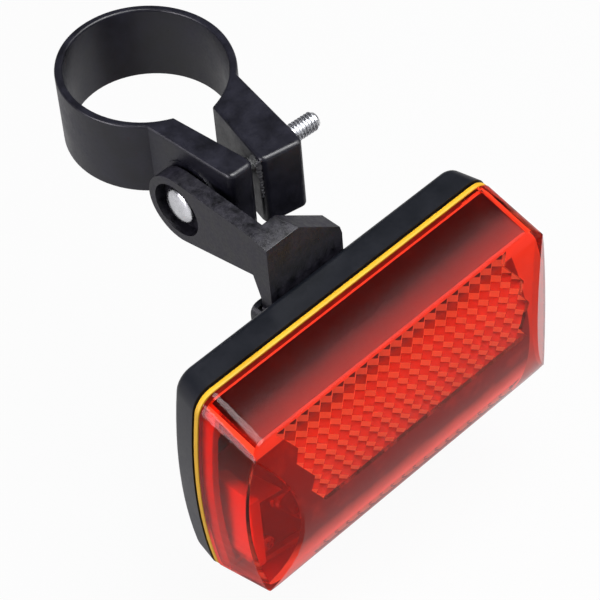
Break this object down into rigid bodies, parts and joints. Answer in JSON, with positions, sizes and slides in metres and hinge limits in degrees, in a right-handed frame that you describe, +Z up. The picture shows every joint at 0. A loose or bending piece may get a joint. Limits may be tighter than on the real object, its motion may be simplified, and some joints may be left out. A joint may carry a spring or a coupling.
{
  "type": "bicycle rear light",
  "caption": "Red bicycle rear light with a moulded-in reflector, on a pivoting arm with a bolted seat post clamp.",
  "frame": {"origin": "centre of the seat post clamp's bore, at mid-height", "axes": "+Z up along the bore, +X along the clamp bolt from its head to its tip, the lens faces -Y"},
  "size_m": [0.082, 0.0939, 0.0682],
  "materials": {
    "black_plastic": "fine matt",
    "housing_plastic": "satin",
    "bright_zinc": "bright zinc plate",
    "yellow_rubber": "satin",
    "red_lens": "clear red, polished",
    "white_plastic": "satin",
    "circuit_board_lacquer": "lacquered",
    "clear_resin": "clear, polished",
    "chip_plastic": "matt",
    "cell_sleeve": "satin",
    "nickel_plate": "nickel plated",
    "button_rubber": "matt"
  },
  "bodies": {
    "band": {"clamp_band": "black_plastic", "clamp_nut": "bright_zinc"},
    "bolt": {"clamp_bolt": "bright_zinc"},
    "arm": {"mounting_arm": "black_plastic"},
    "light": {"rear_housing": "housing_plastic", "seal": "yellow_rubber", "battery_tray": "white_plastic", "circuit_board": "circuit_board_lacquer", "led_1": "clear_resin", "led_2": "clear_resin", "led_3": "clear_resin", "led_4": "clear_resin", "led_5": "clear_resin", "tactile_switch": "chip_plastic", "controller_chip": "chip_plastic", "resistor_1": "chip_plastic", "resistor_2": "chip_plastic", "battery_1": "cell_sleeve", "battery_2": "cell_sleeve", "contact_spring_1": "nickel_plate", "contact_spring_2": "nickel_plate", "contact_plate_1": "nickel_plate", "contact_plate_2": "nickel_plate", "board_screw_1": "nickel_plate", "board_screw_2": "nickel_plate"},
    "cover": {"lens": "red_lens"},
    "button": {"push_button": "button_rubber"}
  },
  "joints": [
    {"name": "bolt_turn", "type": "hinge", "parent": "band", "child": "bolt", "pos_m": [-0.01, -0.0244, -0.00295], "axis": [0.9973, -0.0732, 0], "continuous": true},
    {"name": "arm_pivot", "type": "hinge", "parent": "band", "child": "arm", "pos_m": [0, -0.0244, -0.00295], "axis": [1, 0, 0], "range_deg": [-60, 30]},
    {"name": "light_slide", "type": "slide", "parent": "arm", "child": "light", "axis": [0, 0, -1], "range_m": [0, 0.022]},
    {"name": "cover_pull", "type": "slide", "parent": "light", "child": "cover", "axis": [0, -1, 0], "range_m": [0, 0.02]},
    {"name": "button_press", "type": "slide", "parent": "light", "child": "button", "axis": [0, -1, 0], "range_m": [0, 0.0005], "stiffness_N_per_m": 1000}
  ]
}
